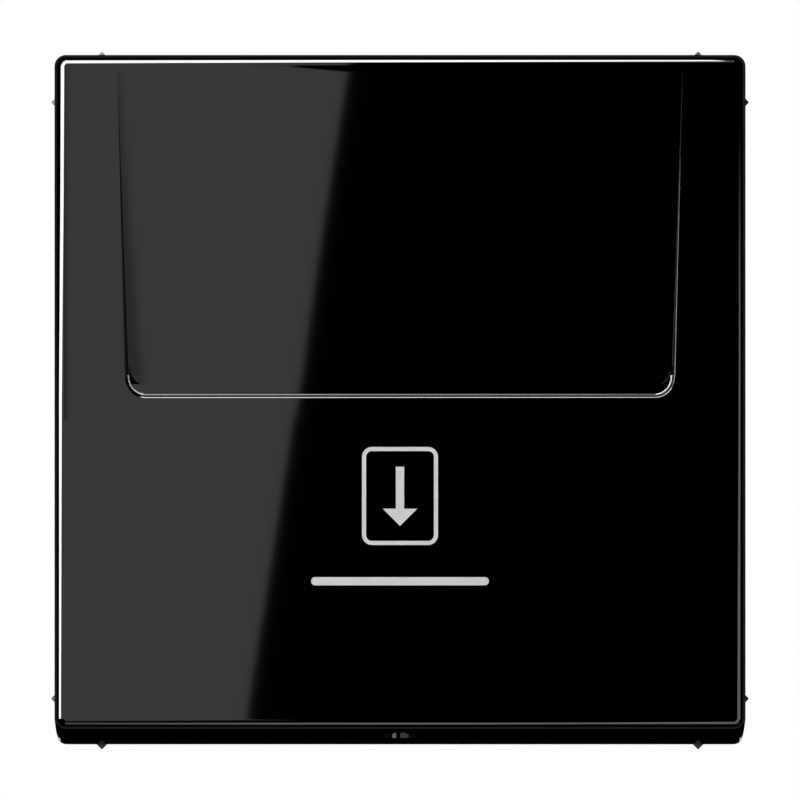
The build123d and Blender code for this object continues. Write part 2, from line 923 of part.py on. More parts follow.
with BuildPart() as carrier_screws:
    for side in (-1, 1):
        for top in (-1, 1):
            across = side * carrier_screw_across
            level = top * carrier_screw_level
            shoulder = carrier_front - carrier_screw_head_height
            rod_out(across, level, carrier_screw_radius, (tip_inset, shoulder))
            head = Location((across, -(carrier_front + shoulder) / 2, level), (90, 0, 0))
            with Locations(head):
                Cone(carrier_screw_radius, carrier_screw_head_radius, carrier_screw_head_height)
finish(carrier_screws, "carrier_screws")

# Rocker and its axle
with BuildPart() as rocker:
    rod_across(rocker_half, rocker_pivot_height, rocker_pivot_level, rocker_hub_radius)
    block((-rocker_half, rocker_half), (rocker_back, rocker_front), (rocker_bottom, rocker_pivot_level))
    for side in (-1, 1):
        block(
            sorted((side * rocker_rib_inner, side * (rocker_rib_inner + rocker_rib_width))),
            (rocker_back - rocker_rib_height, rocker_back),
            (rocker_bottom, rocker_pivot_level),
        )
    rod_across(
        rocker_half, rocker_pivot_height, rocker_pivot_level, axle_radius + axle_play, Mode.SUBTRACT
    )
finish(rocker, "rocker")

with BuildPart() as rocker_axle:
    rod_across(axle_half, rocker_pivot_height, rocker_pivot_level, axle_radius)
finish(rocker_axle, "rocker_axle")

# Plunger, its spring and the plate that guides it
with BuildPart() as plunger:
    rod_out(0, plunger_level, plunger_nose_radius, (plunger_head_front, plunger_nose_front))
    rod_out(0, plunger_level, plunger_head_radius, (plunger_head_back, plunger_head_front))
    rod_out(0, plunger_level, plunger_radius, (-plunger_end, plunger_head_back))
finish(plunger, "plunger")

spring_space = plate_depth + plunger_head_back
spring_pitch = (spring_space - 2 * spring_wire_radius) / spring_turns
print(f"return_spring: least gap between turns {spring_pitch - 2 * spring_wire_radius:.2f} mm")
with BuildPart() as return_spring:
    with BuildLine() as coil:
        Helix(
            spring_pitch,
            spring_turns * spring_pitch,
            spring_radius,
            center=(0, plate_depth - spring_wire_radius, plunger_level),
            direction=(0, -1, 0),
        )
    with BuildSketch(coil.line ^ 0):
        Circle(spring_wire_radius)
    sweep(path=coil.line, is_frenet=True)
finish(return_spring, "return_spring")

with BuildPart() as insulating_plate:
    with BuildSketch(facing(-plate_back)):
        RectangleRounded(
            cavity_width - 2 * plate_play, cavity_height - 2 * plate_play, housing_corner - housing_wall
        )
        with Locations((0, plunger_level)):
            Circle(plunger_radius + plunger_play, mode=Mode.SUBTRACT)
        for side in (-1, 1):
            with Locations((side * lamp_leg_across, lamp_level)):
                Rectangle(
                    2 * (lamp_leg_half + lamp_slot_play),
                    2 * (lamp_leg_thin + lamp_slot_play),
                    mode=Mode.SUBTRACT,
                )
    extrude(amount=plate_back - plate_depth)
finish(insulating_plate, "insulating_plate")

# Moving contact
with BuildPart() as contact_arm:
    block(
        (-arm_half, arm_half),
        (-arm_front - strip_thickness, -arm_front),
        (arm_bottom, arm_pivot_level),
    )
    rod_across(arm_half, -contact_depth, arm_pivot_level, bead_radius)
    rod_out(
        0,
        contact_level,
        rivet_shank_radius,
        (-arm_front - strip_thickness, -arm_front),
        Mode.SUBTRACT,
    )
finish(contact_arm, "contact_arm")

with BuildPart() as moving_contact:
    arm_back = arm_front + strip_thickness
    rod_out(0, contact_level, rivet_shank_radius, (-arm_back, -arm_front))
    rod_out(0, contact_level, rivet_head_radius, (-arm_front, -arm_front + rivet_head_height))
    rod_out(0, contact_level, rivet_head_radius, (-arm_back - rivet_head_height, -arm_back))
finish(moving_contact, "moving_contact")

# Bars between the contacts and the terminals
feed_strip = (-terminal_across - feed_strip_half, -terminal_across + feed_strip_half)
bar_heights = (-common_bar_depth - strip_thickness, -common_bar_depth)
terminal_end = terminal_level + cage_height / 2 - bar_level_inset
lamp_foot = (lamp_level - lamp_leg_half * 2, lamp_level + lamp_leg_half * 2)
with BuildPart() as common_bar:
    block(feed_strip, bar_heights, (lamp_foot[0], terminal_end))
    block((feed_strip[1], cradle_half), bar_heights, (branch_bottom, cradle_top))
    block((feed_strip[1], -lamp_leg_across + 2 * lamp_leg_half), bar_heights, lamp_foot)
    block((-cradle_half, cradle_half), (-common_bar_depth, -cradle_front), (cradle_bottom, cradle_top))
    rod_across(cradle_half, -contact_depth, arm_pivot_level, bead_radius + bead_play, Mode.SUBTRACT)
    block(
        (-cradle_half, cradle_half),
        (-cradle_opening_back, -cradle_opening_front),
        (cradle_bottom, arm_pivot_level),
        Mode.SUBTRACT,
    )
finish(common_bar, "common_bar")

strip_levels = (contact_level - strip_half, contact_level + strip_half)
riser = (cage_inner_side - riser_width, cage_inner_side)
cage_side_plate = (cage_inner_side - strip_thickness, cage_inner_side)
with BuildPart() as closed_contact_bar:
    closed_heights = (-closed_strip_back, -closed_strip_back + strip_thickness)
    block((-strip_overhang, cage_inner_side), closed_heights, strip_levels)
    block(riser, closed_heights, (strip_levels[0], terminal_end))
    block(
        cage_side_plate,
        (-bar_end_depth, closed_heights[1]),
        (terminal_level - cage_height / 2 + bar_level_inset, terminal_end),
    )
finish(closed_contact_bar, "closed_contact_bar")

with BuildPart() as open_contact_bar:
    open_heights = (-open_strip_front - strip_thickness, -open_strip_front)
    block((-strip_overhang, cage_inner_side), open_heights, strip_levels)
    block(
        (lamp_leg_across - 2 * lamp_leg_half, lamp_leg_across + 2 * lamp_leg_half),
        open_heights,
        (lamp_foot[0], strip_levels[0]),
    )
    block(cage_side_plate, (-bar_end_depth, open_heights[1]), (-terminal_end, strip_levels[1]))
finish(open_contact_bar, "open_contact_bar")

with BuildPart() as fixed_contact_tips:
    rod_out(0, contact_level, contact_tip_radius, (-closed_tip_back, -closed_strip_back))
    rod_out(0, contact_level, contact_tip_radius, (-open_strip_front, -open_tip_front))
finish(fixed_contact_tips, "fixed_contact_tips")

# Terminals
with BuildPart() as terminal_cages:
    for across in (-terminal_across, terminal_across):
        for level in (-terminal_level, terminal_level):
            with BuildSketch(facing(-cage_front - cage_depth)):
                with Locations((across, level)):
                    Rectangle(cage_width, cage_height)
                    Rectangle(
                        cage_width - 2 * cage_wall, cage_height - 2 * cage_wall, mode=Mode.SUBTRACT
                    )
            extrude(amount=cage_depth)
finish(terminal_cages, "terminal_cages")

with BuildPart() as clamp_springs:
    for level in (-terminal_level, terminal_level):
        for side in (-1, 1):
            outer = terminal_across + cage_width / 2 - cage_wall - clamp_thickness / 2
            inner = terminal_across - cage_width / 2 + cage_wall + clamp_tip_inset
            top = cage_front + clamp_top_inset
            foot = cage_front + cage_depth - clamp_foot_inset
            with BuildSketch(Plane.XY.offset(level - clamp_half)):
                with BuildLine() as leaf:
                    FilletPolyline(
                        (side * outer, foot),
                        (side * outer, top),
                        (side * terminal_across, top),
                        (side * inner, foot - clamp_tip_rise),
                        radius=clamp_bend,
                    )
                trace(leaf.edges(), line_width=clamp_thickness)
            extrude(amount=2 * clamp_half)
finish(clamp_springs, "clamp_springs")

# Buttons at the back that free the wires
for side, name in ((-1, "release_button_left"), (1, "release_button_right")):
    with BuildPart() as release_button:
        middle = side * terminal_across
        button_back = -housing_depth - button_proud
        block(
            (middle - button_half, middle + button_half),
            (button_back, button_back + button_length),
            (-button_tall, button_tall),
        )
        flange_back = -housing_floor + button_play
        block(
            (middle - button_half - flange_side, middle + button_half + flange_side),
            (flange_back, flange_back + flange_thickness),
            (-button_tall - flange_end, button_tall + flange_end),
        )
    finish(release_button, name)

# Indicator lamp
with BuildPart() as lamp_body:
    block(
        (-lamp_half, lamp_half),
        (-plate_depth, lamp_front),
        (lamp_level - lamp_thick, lamp_level + lamp_thick),
    )
finish(lamp_body, "lamp_body")

with BuildPart() as lamp_led:
    rod_out(0, lamp_level, led_radius, (lamp_front, lamp_front + led_shoulder))
    with Locations((0, -lamp_front - led_shoulder, lamp_level)):
        Sphere(led_radius)
    block(
        (-2 * led_radius, 2 * led_radius),
        (lamp_front - 2 * led_radius, lamp_front),
        (lamp_level - 2 * led_radius, lamp_level + 2 * led_radius),
        Mode.SUBTRACT,
    )
finish(lamp_led, "lamp_led")

with BuildPart() as lamp_contacts:
    for across, depth in ((-lamp_leg_across, common_bar_depth), (lamp_leg_across, open_strip_front)):
        block(
            (across - lamp_leg_half, across + lamp_leg_half),
            (-depth, -plate_depth),
            (lamp_level - lamp_leg_thin, lamp_level + lamp_leg_thin),
        )
finish(lamp_contacts, "lamp_contacts")

# Spreading claws with their screws
for side, end in ((-1, "left"), (1, "right")):
    plate = sorted((side * claw_inner, side * (claw_inner + claw_thickness)))
    with BuildPart() as claw:
        block(plate, (-claw_length, claw_pivot_height), (-claw_half, claw_half))
        with Locations((sum(plate) / 2, -claw_pivot_height, 0)):
            Cylinder(claw_bead_radius, 2 * claw_half)
        block(
            plate,
            (-claw_length + claw_back_strip, -claw_front_strip),
            (-claw_gap_half, claw_gap_half),
            Mode.SUBTRACT,
        )
        lug = sorted((side * claw_inner, side * claw_lug_reach))
        block(lug, (-lug_start - lug_thickness, -lug_start), (-claw_lug_half, claw_lug_half))
        slot_half = claw_screw_radius + claw_lug_play
        slot = sorted((side * claw_inner, side * claw_screw_across))
        block(slot, (-lug_start - lug_thickness, -lug_start), (-slot_half, slot_half), Mode.SUBTRACT)
        rod_out(
            side * claw_screw_across,
            0,
            slot_half,
            (-lug_start - lug_thickness, -lug_start),
            Mode.SUBTRACT,
        )
        tooth = sorted((side * claw_inner, side * tooth_reach))
        block(tooth, (-claw_length, -claw_length + claw_back_strip), (-claw_half, claw_half))
        with BuildSketch(facing(-claw_length)):
            with Locations((side * tooth_reach, 0)):
                Rectangle(2 * tooth_depth, claw_half)
        extrude(amount=claw_back_strip, mode=Mode.SUBTRACT)
    finish(claw, f"claw_{end}")
    with BuildPart() as claw_screw:
        across = side * claw_screw_across
        rod_out(across, 0, claw_head_radius, (ring_thickness, ring_thickness + claw_head_height))
        rod_out(across, 0, claw_screw_radius, (-claw_screw_tip, ring_thickness))
        block(
            (across - claw_head_radius, across + claw_head_radius),
            (ring_thickness + claw_head_height - claw_slot_depth, ring_thickness + claw_head_height),
            (-claw_slot_half, claw_slot_half),
            Mode.SUBTRACT,
        )
    finish(claw_screw, f"claw_screw_{end}")
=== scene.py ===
import math

import bmesh
import bpy
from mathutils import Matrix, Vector


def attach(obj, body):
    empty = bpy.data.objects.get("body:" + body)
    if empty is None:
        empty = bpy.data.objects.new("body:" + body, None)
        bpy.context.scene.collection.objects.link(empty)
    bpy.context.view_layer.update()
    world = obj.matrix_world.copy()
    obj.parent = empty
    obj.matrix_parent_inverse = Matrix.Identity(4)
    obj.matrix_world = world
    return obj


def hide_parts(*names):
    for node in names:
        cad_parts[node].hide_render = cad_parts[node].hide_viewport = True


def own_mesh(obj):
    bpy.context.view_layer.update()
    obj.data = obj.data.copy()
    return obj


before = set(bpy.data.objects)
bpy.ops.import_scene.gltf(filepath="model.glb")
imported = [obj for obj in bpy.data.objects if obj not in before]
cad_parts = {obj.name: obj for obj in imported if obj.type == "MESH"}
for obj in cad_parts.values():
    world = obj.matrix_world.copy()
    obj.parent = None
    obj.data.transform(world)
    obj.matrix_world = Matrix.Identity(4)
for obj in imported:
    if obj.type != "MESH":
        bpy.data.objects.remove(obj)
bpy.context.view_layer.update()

MM = 0.001

# The object's own sizes, in millimetres
COVER_HALF = 35.0
FACE_HEIGHT = 18.7
LIP_LEVEL = 0.41
LIP_TOP = 2.57
LIP_STEP_DEPTH = 0.8
RECESS_TOP = 33.9
RECESS_HALF = 28.7
RECESS_TOP_HALF = 28.63
FLOOR_HEIGHT = 14.5
FLOOR_BEND_LEVEL = 1.65
EDGE_ROUND = 0.2
TOP_ROUND_SHARE = 0.35
STEP_ROUND_SHARE = 0.42
SIDE_TRIM = 0.12
CORNER_START = 26.0
CORNER_REACH = 1.6
SLOT_HALF = 27.42
# Painted highlight: a pale, satin line on the lip's step near the slot's two corners, standing in
# for the edge's reflection
PAINTED_HIGHLIGHT_START = 25.9
PAINTED_HIGHLIGHT_COLOUR = (0.7, 0.72, 0.71, 1.0)
PAINTED_HIGHLIGHT_ROUGHNESS = 0.3
EDGE_STEPS = 4

# How near counts as on a face or at an edge, in millimetres
FACE_TOLERANCE = 0.01
EDGE_TOLERANCE = 0.05
TOP_MARGIN = 0.1
FLOOR_MARGIN = 0.3
SLOT_MARGIN = 0.2
# Reach of the painted highlight past the slot's side and into the lip's step
PAINTED_HIGHLIGHT_MARGIN = 0.1
PAINTED_HIGHLIGHT_DEPTH = 0.09

# Joining and shading of the copied meshes
WELD_DISTANCE = 0.0000005
FLAT_ANGLE = 0.2
SMOOTH_ANGLE = 32.0
NORMAL_WEIGHT = 50

# Least and greatest shares of a finish's roughness and colour
MOULDED_ROUGHNESS = (0.85, 1.15)
PLATED_ROUGHNESS = (0.75, 1.3)
CLEAR_ROUGHNESS = (0.6, 1.4)
DULLEST_PLATING = 0.82

# Gloss of the cover and of clear plastic
PLASTIC_IOR = 1.49
DEEPEST_BLACK = (0.00004, 0.00004, 0.00004)
CLOUDED_BLACK = (0.0001, 0.0001, 0.0001)
GLOSS_FINEST = 0.0136
GLOSS_COARSEST = 0.0144

# Camera of the photograph
CAMERA_DISTANCE = 1940.0
PIXELS_PER_MM = 9.877
PICTURE_PIXELS = 800
SENSOR_WIDTH = 36.0
CAMERA_LEVEL = 0.05
CLIP_NEAR = 0.01
CLIP_FAR = 20.0


def deselect_all():
    """Nothing is selected and no object is active in edit mode."""
    if bpy.context.object and bpy.context.object.mode != "OBJECT":
        bpy.ops.object.mode_set(mode="OBJECT")
    bpy.ops.object.select_all(action="DESELECT")


def make_active(piece):
    """The piece is the only selected object."""
    deselect_all()
    piece.select_set(True)
    bpy.context.view_layer.objects.active = piece


# Materials


def new_material(name):
    """A material with its nodes, links and main shader."""
    material = bpy.data.materials.new(name)
    material.use_nodes = True
    nodes = material.node_tree.nodes
    return material, nodes, material.node_tree.links, nodes["Principled BSDF"]


def object_noise(nodes, links, scale, detail=3.0, roughness=0.5, stretch=(1.0, 1.0, 1.0)):
    """A noise in object space, in waves per metre, stretched along the axes."""
    place = nodes.new("ShaderNodeTexCoord")
    turn = nodes.new("ShaderNodeMapping")
    turn.inputs["Scale"].default_value = stretch
    noise = nodes.new("ShaderNodeTexNoise")
    noise.inputs["Scale"].default_value = scale
    noise.inputs["Detail"].default_value = detail
    noise.inputs["Roughness"].default_value = roughness
    links.new(place.outputs["Object"], turn.inputs["Vector"])
    links.new(turn.outputs["Vector"], noise.inputs["Vector"])
    return noise


def ramp_between(nodes, links, source, low, high, start=0.3, end=0.7):
    """A colour ramp from low to high, driven by a source's factor."""
    ramp = nodes.new("ShaderNodeValToRGB")
    ramp.color_ramp.elements[0].position = start
    ramp.color_ramp.elements[1].position = end
    ramp.color_ramp.elements[0].color = (*low, 1.0)
    ramp.color_ramp.elements[1].color = (*high, 1.0)
    links.new(source, ramp.inputs["Fac"])
    return ramp


def roughness_between(nodes, links, source, shader, roughness, shares):
    """Drives a shader's roughness between two shares of its own value."""
    low, high = (roughness * share for share in shares)
    span = range_between(nodes, links, source, low, high)
    links.new(span.outputs["Result"], shader.inputs["Roughness"])


def range_between(nodes, links, source, low, high, start=0.3, end=0.7):
    """A number from low to high, driven by a source between start and end."""
    span = nodes.new("ShaderNodeMapRange")
    span.inputs["From Min"].default_value = start
    span.inputs["From Max"].default_value = end
    span.inputs["To Min"].default_value = low
    span.inputs["To Max"].default_value = high
    links.new(source, span.inputs["Value"])
    return span


def add_bump(nodes, links, shader, height, distance, strength=1.0):
    """A relief of so many metres from a height."""
    bump = nodes.new("ShaderNodeBump")
    bump.inputs["Strength"].default_value = strength
    bump.inputs["Distance"].default_value = distance
    links.new(height, bump.inputs["Height"])
    links.new(bump.outputs["Normal"], shader.inputs["Normal"])


def moulded_plastic(name, colour, roughness, grain=4200.0, relief=0.000006, spread=0.06):
    """Moulded plastic with a fine eroded grain and a faint cloudiness."""
    material, nodes, links, shader = new_material(name)
    cloud = object_noise(nodes, links, scale=90.0, detail=4.0)
    low = tuple(c * (1.0 - spread) for c in colour)
    high = tuple(min(1.0, c * (1.0 + spread)) for c in colour)
    tint = ramp_between(nodes, links, cloud.outputs["Fac"], low, high)
    links.new(tint.outputs["Color"], shader.inputs["Base Color"])
    pits = object_noise(nodes, links, grain, detail=2.0, roughness=0.6)
    roughness_between(nodes, links, pits.outputs["Fac"], shader, roughness, MOULDED_ROUGHNESS)
    add_bump(nodes, links, shader, pits.outputs["Fac"], relief)
    return material


def plated_steel(name, colour, roughness, brush=(1.0, 1.0, 1.0), relief=0.000004):
    """Zinc-plated or drawn steel, with a fine brush line and cloudy plating."""
    material, nodes, links, shader = new_material(name)
    shader.inputs["Metallic"].default_value = 1.0
    cloud = object_noise(nodes, links, scale=140.0, detail=5.0, roughness=0.6)
    low = tuple(c * DULLEST_PLATING for c in colour)
    tint = ramp_between(nodes, links, cloud.outputs["Fac"], low, colour)
    links.new(tint.outputs["Color"], shader.inputs["Base Color"])
    lines = object_noise(nodes, links, scale=1500.0, detail=3.0, roughness=0.6, stretch=brush)
    roughness_between(nodes, links, lines.outputs["Fac"], shader, roughness, PLATED_ROUGHNESS)
    add_bump(nodes, links, shader, lines.outputs["Fac"], relief)
    return material


def clear_plastic(name, colour, roughness):
    """Clear plastic with a faint haze."""
    material, nodes, links, shader = new_material(name)
    shader.inputs["Transmission Weight"].default_value = 1.0
    shader.inputs["IOR"].default_value = PLASTIC_IOR
    shader.inputs["Base Color"].default_value = (*colour, 1.0)
    haze = object_noise(nodes, links, scale=900.0, detail=3.0)
    roughness_between(nodes, links, haze.outputs["Fac"], shader, roughness, CLEAR_ROUGHNESS)
    add_bump(nodes, links, shader, haze.outputs["Fac"], distance=0.000002)
    return material


def product(nodes, links, first, second):
    """The product of two values."""
    times = nodes.new("ShaderNodeMath")
    times.operation = "MULTIPLY"
    links.new(first, times.inputs[0])
    links.new(second, times.inputs[1])
    return times.outputs[0]


def within(nodes, links, source, low, high):
    """One where a value lies between two bounds, else zero."""
    above = nodes.new("ShaderNodeMath")
    above.operation = "GREATER_THAN"
    above.inputs[1].default_value = low
    below = nodes.new("ShaderNodeMath")
    below.operation = "LESS_THAN"
    below.inputs[1].default_value = high
    links.new(source, above.inputs[0])
    links.new(source, below.inputs[0])
    return product(nodes, links, above.outputs[0], below.outputs[0])


def painted_corner_highlight(nodes, links):
    """One on the rounded step of the lip near its two corners, where a pale line is painted as the
    highlight of that edge.
    """
    place = nodes.new("ShaderNodeTexCoord")
    axes = nodes.new("ShaderNodeSeparateXYZ")
    links.new(place.outputs["Object"], axes.inputs["Vector"])
    across = nodes.new("ShaderNodeMath")
    across.operation = "ABSOLUTE"
    links.new(axes.outputs["X"], across.inputs[0])
    step_front = -(FACE_HEIGHT - LIP_STEP_DEPTH)
    bounds = (
        (across.outputs[0], PAINTED_HIGHLIGHT_START, SLOT_HALF + PAINTED_HIGHLIGHT_MARGIN),
        (axes.outputs["Y"], step_front - FACE_TOLERANCE, step_front + PAINTED_HIGHLIGHT_DEPTH),
        (axes.outputs["Z"], LIP_LEVEL, LIP_TOP),
    )
    side, depth, level = (
        within(nodes, links, source, low * MM, high * MM) for source, low, high in bounds
    )
    return product(nodes, links, product(nodes, links, side, depth), level)


def gloss_black(name):
    """Polished black plastic: nearly a mirror, with a trace of haze from the mould, and a painted
    highlight: a pale, satin line on the lip's step near the slot corners.
    """
    material, nodes, links, shader = new_material(name)
    cloud = object_noise(nodes, links, scale=60.0, detail=3.0)
    black = ramp_between(nodes, links, cloud.outputs["Fac"], DEEPEST_BLACK, CLOUDED_BLACK)
    # Painted highlight on the lip's step near the slot corners: its mask mixes in a pale colour and
    # a satin roughness
    painted_highlight = painted_corner_highlight(nodes, links)
    tint = nodes.new("ShaderNodeMix")
    tint.data_type = "RGBA"
    tint.inputs["B"].default_value = PAINTED_HIGHLIGHT_COLOUR
    links.new(painted_highlight, tint.inputs["Factor"])
    links.new(black.outputs["Color"], tint.inputs["A"])
    links.new(tint.outputs["Result"], shader.inputs["Base Color"])
    shader.inputs["IOR"].default_value = PLASTIC_IOR
    haze = object_noise(nodes, links, scale=1800.0, detail=2.0)
    gloss = range_between(nodes, links, haze.outputs["Fac"], GLOSS_FINEST, GLOSS_COARSEST)
    highlight_gloss = nodes.new("ShaderNodeMix")
    highlight_gloss.inputs["B"].default_value = PAINTED_HIGHLIGHT_ROUGHNESS
    links.new(painted_highlight, highlight_gloss.inputs["Factor"])
    links.new(gloss.outputs["Result"], highlight_gloss.inputs["A"])
    links.new(highlight_gloss.outputs["Result"], shader.inputs["Roughness"])
    return material


COVER_GLOSS = gloss_black("cover_gloss_black")
PRINT_INK = moulded_plastic(
    "print_ink_white", (0.485, 0.5, 0.495), 0.6, grain=9000.0, relief=0.000001, spread=0.02
)
FRAME_GREY = moulded_plastic("frame_dark_grey", (0.018, 0.018, 0.019), 0.42)
GUIDE_BLACK = moulded_plastic("guide_satin_black", (0.02, 0.02, 0.021), 0.38)
LEVER_GREY = moulded_plastic("lever_light_grey", (0.5, 0.5, 0.48), 0.4)
HOUSING_GREY = moulded_plastic(
    "housing_grey", (0.38, 0.39, 0.4), 0.45, grain=2600.0, relief=0.00001
)
CARRIER_WHITE = moulded_plastic("carrier_off_white", (0.6, 0.6, 0.57), 0.42)
ROCKER_WHITE = moulded_plastic("rocker_white", (0.7, 0.7, 0.68), 0.36)
PLUNGER_RED = moulded_plastic("plunger_red", (0.45, 0.05, 0.03), 0.35)
BUTTON_ORANGE = moulded_plastic("button_orange", (0.72, 0.22, 0.02), 0.36)
LAMP_WHITE = moulded_plastic("lamp_white", (0.72, 0.72, 0.7), 0.4)
BOARD_BROWN = moulded_plastic(
    "insulating_board", (0.3, 0.19, 0.09), 0.55, grain=1800.0, relief=0.000008, spread=0.18
)
SHEET_STEEL = plated_steel("ring_zinc_sheet", (0.62, 0.62, 0.6), 0.34, brush=(0.15, 1.0, 1.0))
CLAW_STEEL = plated_steel("claw_zinc_sheet", (0.58, 0.58, 0.56), 0.36, brush=(1.0, 0.15, 1.0))
SCREW_STEEL = plated_steel("screw_zinc", (0.66, 0.66, 0.63), 0.28)
PIN_STEEL = plated_steel("pin_drawn_steel", (0.6, 0.6, 0.6), 0.25, brush=(0.1, 1.0, 1.0))
SPRING_STEEL = plated_steel("spring_steel", (0.5, 0.5, 0.5), 0.24)
CAGE_STEEL = plated_steel("cage_plated_steel", (0.6, 0.6, 0.57), 0.35, brush=(1.0, 0.2, 1.0))
STRIP_BRASS = plated_steel("strip_brass", (0.72, 0.5, 0.2), 0.3, brush=(1.0, 0.2, 1.0))
CONTACT_SILVER = plated_steel("contact_silver", (0.85, 0.84, 0.8), 0.2)
LENS_CLEAR = clear_plastic("light_guide_clear", (0.93, 0.95, 0.94), 0.04)
LED_RESIN = clear_plastic("led_resin", (0.7, 0.9, 0.65), 0.05)

NODE_FINISHES = {
    "front_cover": COVER_GLOSS,
    "mounting_frame": FRAME_GREY,
    "light_guide": LENS_CLEAR,
    "card_guide": GUIDE_BLACK,
    "guide_screws": SCREW_STEEL,
    "card_lever": LEVER_GREY,
    "lever_pin": PIN_STEEL,
    "support_ring": SHEET_STEEL,
    "frame_screws": SCREW_STEEL,
    "switch_housing": HOUSING_GREY,
    "rocker_carrier": CARRIER_WHITE,
    "carrier_screws": SCREW_STEEL,
    "rocker": ROCKER_WHITE,
    "rocker_axle": PIN_STEEL,
    "plunger": PLUNGER_RED,
    "return_spring": SPRING_STEEL,
    "insulating_plate": BOARD_BROWN,
    "contact_arm": STRIP_BRASS,
    "moving_contact": CONTACT_SILVER,
    "common_bar": STRIP_BRASS,
    "open_contact_bar": STRIP_BRASS,
    "closed_contact_bar": STRIP_BRASS,
    "fixed_contact_tips": CONTACT_SILVER,
    "terminal_cages": CAGE_STEEL,
    "clamp_springs": SPRING_STEEL,
    "release_button_left": BUTTON_ORANGE,
    "release_button_right": BUTTON_ORANGE,
    "lamp_body": LAMP_WHITE,
    "lamp_led": LED_RESIN,
    "lamp_contacts": STRIP_BRASS,
    "claw_left": CLAW_STEEL,
    "claw_right": CLAW_STEEL,
    "claw_screw_left": SCREW_STEEL,
    "claw_screw_right": SCREW_STEEL,
}
for node, finish in NODE_FINISHES.items():
    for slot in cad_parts[node].material_slots:
        slot.material = finish

# Front cover with rounded recess edges


def merged_copy(node, name, join_flats=False):
    """A copy of a CAD node with its loose triangles merged, and its flat faces joined if asked."""
    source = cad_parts[node]
    piece = source.copy()
    piece.data = source.data.copy()
    piece.name = name
    bpy.context.collection.objects.link(piece)
    piece.parent = None
    make_active(piece)
    bpy.ops.mesh.customdata_custom_splitnormals_clear()
    bpy.ops.object.mode_set(mode="EDIT")
    bpy.ops.mesh.select_all(action="SELECT")
    bpy.ops.mesh.remove_doubles(threshold=WELD_DISTANCE)
    if join_flats:
        bpy.ops.mesh.dissolve_limited(angle_limit=math.radians(FLAT_ANGLE))
    bpy.ops.mesh.select_all(action="DESELECT")
    bpy.ops.object.mode_set(mode="OBJECT")
    return piece


def edge_round_share(edge):
    """The share of the edge round that an edge gets: recess outline all, lip's step some."""
    ends = [vertex.co / MM for vertex in edge.verts]
    low = min(end.z for end in ends)
    if low < LIP_LEVEL - EDGE_TOLERANCE or low > RECESS_TOP - TOP_MARGIN:
        return 0.0
    if any(abs(end.x) > RECESS_HALF for end in ends):
        return 0.0
    if all(abs(end.y + FACE_HEIGHT) < FACE_TOLERANCE for end in ends):
        return 1.0
    on_step = all(abs(end.y + FACE_HEIGHT - LIP_STEP_DEPTH) < FACE_TOLERANCE for end in ends)
    if on_step and low < LIP_TOP - EDGE_TOLERANCE and edge.is_convex:
        return STEP_ROUND_SHARE
    return 0.0


def is_floor_crease(edge):
    """An edge where the recess floor changes its slope: at the face, above the lip or behind it."""
    ends = [vertex.co / MM for vertex in edge.verts]
    at_top = all(abs(end.z - RECESS_TOP) < EDGE_TOLERANCE for end in ends)
    on_face = all(abs(end.y + FACE_HEIGHT) < EDGE_TOLERANCE for end in ends)
    on_floor = all(abs(end.y + FLOOR_HEIGHT) < EDGE_TOLERANCE for end in ends)
    levels = (FLOOR_BEND_LEVEL, LIP_LEVEL)
    at_bend = any(all(abs(end.z - level) < EDGE_TOLERANCE for end in ends) for level in levels)
    return (at_top and on_face) or (on_floor and at_bend)


def trim_recess_side(vertex):
    """Moves a vertex of the recess's sides inwards, most at the lip and not at the top."""
    across, front, level = vertex.co / MM
    on_face = abs(front + FACE_HEIGHT) < FACE_TOLERANCE and abs(across) > CORNER_START
    on_wall = front < -FLOOR_HEIGHT + FLOOR_MARGIN and abs(across) > SLOT_HALF + SLOT_MARGIN
    if not (on_face or on_wall) or abs(across) > RECESS_HALF or level < LIP_LEVEL - EDGE_TOLERANCE:
        return
    corner_share = min(1.0, (abs(across) - CORNER_START) / CORNER_REACH)
    level_share = (RECESS_TOP - level) / (RECESS_TOP - LIP_LEVEL)
    vertex.co.x -= math.copysign(SIDE_TRIM * corner_share * level_share * MM, across)


def change_net(piece, change):
    """Changes a piece's mesh by a function that works on its net."""
    net = bmesh.new()
    net.from_mesh(piece.data)
    change(net)
    net.to_mesh(piece.data)
    net.free()


def trim_and_weigh(net):
    """Trims the recess sides and gives each edge its share of the round."""
    for vertex in net.verts:
        trim_recess_side(vertex)
    shares = net.edges.layers.float.new("bevel_weight_edge")
    for edge in net.edges:
        edge[shares] = edge_round_share(edge)


def taper_rounds(net):
    """Makes the rounds narrow where they end at the recess's two top corners."""
    for side in (-1, 1):
        corner = Vector((side * RECESS_TOP_HALF, -FACE_HEIGHT, RECESS_TOP)) * MM
        near = [vertex for vertex in net.verts if (vertex.co - corner).length < 2 * EDGE_ROUND * MM]
        for vertex in near:
            vertex.co = corner + (vertex.co - corner) * TOP_ROUND_SHARE


def sharpen_creases(net):
    """Keeps the recess floor's creases sharp in the shading."""
    for edge in net.edges:
        if is_floor_crease(edge):
            edge.smooth = False


